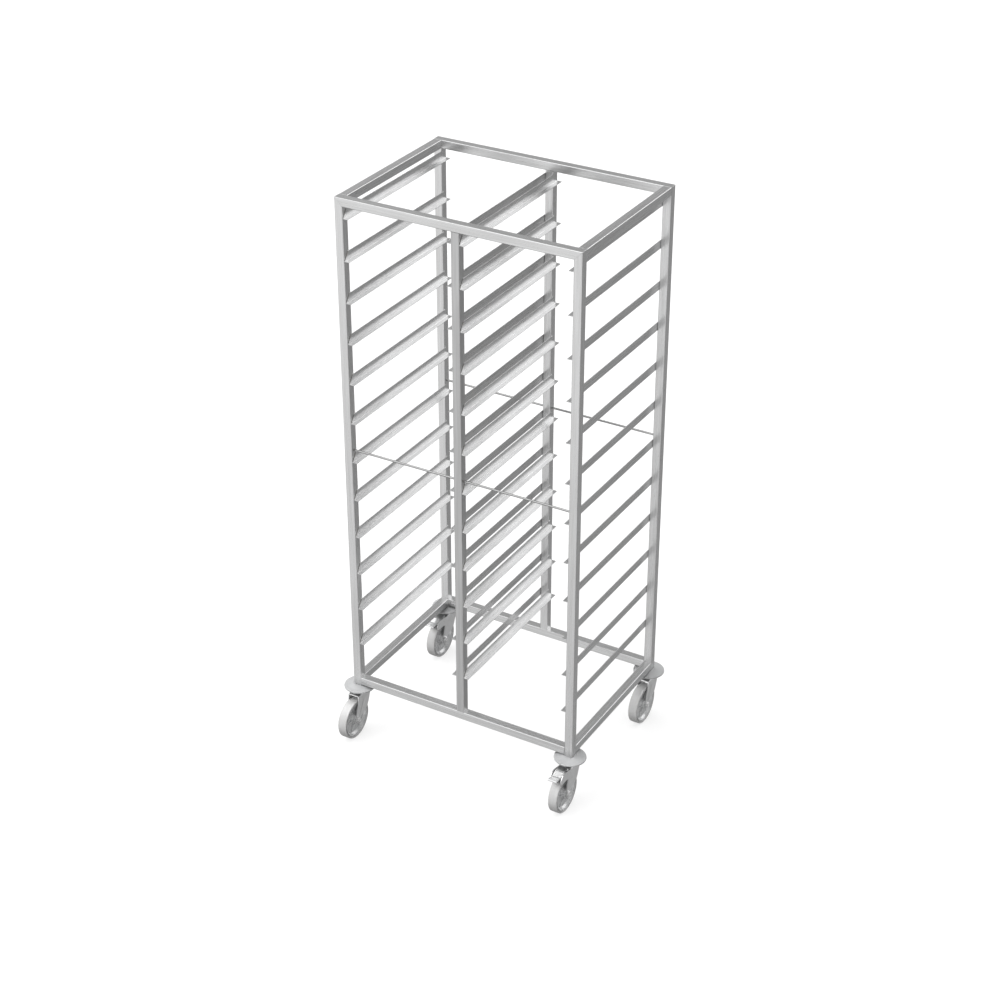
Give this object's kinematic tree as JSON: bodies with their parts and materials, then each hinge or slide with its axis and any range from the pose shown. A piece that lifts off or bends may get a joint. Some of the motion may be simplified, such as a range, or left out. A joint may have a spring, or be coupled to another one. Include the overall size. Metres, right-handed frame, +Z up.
{
  "type": "tray rack trolley",
  "caption": "Wheeled two-bay tray rack: welded square-tube frame, L-shaped tray runners, tie rods, corner bumper discs and swivel casters, two with brakes.",
  "frame": {"origin": "on the floor, at the centre of the whole object's box, casters and brake pedals included", "axes": "+X to the right across both bays, +Y to the back along the runners, +Z up"},
  "size_m": [0.815, 0.6596, 1.73],
  "materials": {
    "stainless": "satin brushed stainless steel, welds ground flush",
    "bright_rod": "bright drawn stainless rod",
    "zinc_steel": "pressed sheet steel, bright zinc plated",
    "fastener_steel": "zinc plated turned steel",
    "grey_tyre": "non-marking light grey elastic rubber",
    "rim_plastic": "moulded grey polyamide with a fine matt grain",
    "bumper_plastic": "moulded light grey plastic, slightly satin"
  },
  "bodies": {
    "frame": {"left_runner_ladder": "stainless", "middle_runner_ladder": "stainless", "right_runner_ladder": "stainless", "top_front_rail": "stainless", "top_rear_rail": "stainless", "top_left_rail": "stainless", "top_right_rail": "stainless", "bottom_front_rail": "stainless", "bottom_rear_rail": "stainless", "bottom_left_rail": "stainless", "bottom_right_rail": "stainless", "front_tie_rod": "bright_rod", "rear_tie_rod": "bright_rod", "front_left_post_insert": "zinc_steel", "front_left_bumper_disc": "bumper_plastic", "front_left_king_bolt": "zinc_steel", "front_left_upper_race": "zinc_steel", "front_right_post_insert": "zinc_steel", "front_right_bumper_disc": "bumper_plastic", "front_right_king_bolt": "zinc_steel", "front_right_upper_race": "zinc_steel", "rear_left_post_insert": "zinc_steel", "rear_left_bumper_disc": "bumper_plastic", "rear_left_king_bolt": "zinc_steel", "rear_left_upper_race": "zinc_steel", "rear_right_post_insert": "zinc_steel", "rear_right_bumper_disc": "bumper_plastic", "rear_right_king_bolt": "zinc_steel", "rear_right_upper_race": "zinc_steel"},
    "front_left_caster": {"front_left_fork": "zinc_steel", "front_left_axle_bolt": "fastener_steel", "front_left_axle_nut": "fastener_steel"},
    "front_left_wheel": {"front_left_tyre": "grey_tyre", "front_left_wheel_rim": "rim_plastic", "front_left_wheel_bush": "fastener_steel"},
    "front_right_caster": {"front_right_fork": "zinc_steel", "front_right_axle_bolt": "fastener_steel", "front_right_axle_nut": "fastener_steel", "front_right_brake_pin": "fastener_steel"},
    "front_right_wheel": {"front_right_tyre": "grey_tyre", "front_right_wheel_rim": "rim_plastic", "front_right_wheel_bush": "fastener_steel"},
    "front_right_brake": {"front_right_brake_pedal": "zinc_steel"},
    "rear_left_caster": {"rear_left_fork": "zinc_steel", "rear_left_axle_bolt": "fastener_steel", "rear_left_axle_nut": "fastener_steel", "rear_left_brake_pin": "fastener_steel"},
    "rear_left_wheel": {"rear_left_tyre": "grey_tyre", "rear_left_wheel_rim": "rim_plastic", "rear_left_wheel_bush": "fastener_steel"},
    "rear_left_brake": {"rear_left_brake_pedal": "zinc_steel"},
    "rear_right_caster": {"rear_right_fork": "zinc_steel", "rear_right_axle_bolt": "fastener_steel", "rear_right_axle_nut": "fastener_steel"},
    "rear_right_wheel": {"rear_right_tyre": "grey_tyre", "rear_right_wheel_rim": "rim_plastic", "rear_right_wheel_bush": "fastener_steel"}
  },
  "joints": [
    {"name": "front_left_swivel", "type": "hinge", "parent": "frame", "child": "front_left_caster", "pos_m": [-0.36, -0.22275, 0.149], "axis": [0, 0, 1], "continuous": true},
    {"name": "front_left_wheel_spin", "type": "hinge", "parent": "front_left_caster", "child": "front_left_wheel", "pos_m": [-0.36, -0.26575, 0.0625], "axis": [1, 0, 0], "continuous": true},
    {"name": "front_right_swivel", "type": "hinge", "parent": "frame", "child": "front_right_caster", "pos_m": [0.36, -0.22275, 0.149], "axis": [0, 0, 1], "continuous": true},
    {"name": "front_right_wheel_spin", "type": "hinge", "parent": "front_right_caster", "child": "front_right_wheel", "pos_m": [0.36, -0.26575, 0.0625], "axis": [1, 0, 0], "continuous": true},
    {"name": "front_right_brake_press", "type": "hinge", "parent": "front_right_caster", "child": "front_right_brake", "pos_m": [0.36, -0.27275, 0.134], "axis": [1, 0, 0], "range_deg": [0, 14]},
    {"name": "rear_left_swivel", "type": "hinge", "parent": "frame", "child": "rear_left_caster", "pos_m": [-0.36, 0.28225, 0.149], "axis": [0, 0, 1], "continuous": true},
    {"name": "rear_left_wheel_spin", "type": "hinge", "parent": "rear_left_caster", "child": "rear_left_wheel", "pos_m": [-0.36, 0.23925, 0.0625], "axis": [1, 0, 0], "continuous": true},
    {"name": "rear_left_brake_press", "type": "hinge", "parent": "rear_left_caster", "child": "rear_left_brake", "pos_m": [-0.36, 0.23225, 0.134], "axis": [1, 0, 0], "range_deg": [0, 14]},
    {"name": "rear_right_swivel", "type": "hinge", "parent": "frame", "child": "rear_right_caster", "pos_m": [0.36, 0.28225, 0.149], "axis": [0, 0, 1], "continuous": true},
    {"name": "rear_right_wheel_spin", "type": "hinge", "parent": "rear_right_caster", "child": "rear_right_wheel", "pos_m": [0.36, 0.23925, 0.0625], "axis": [1, 0, 0], "continuous": true}
  ]
}
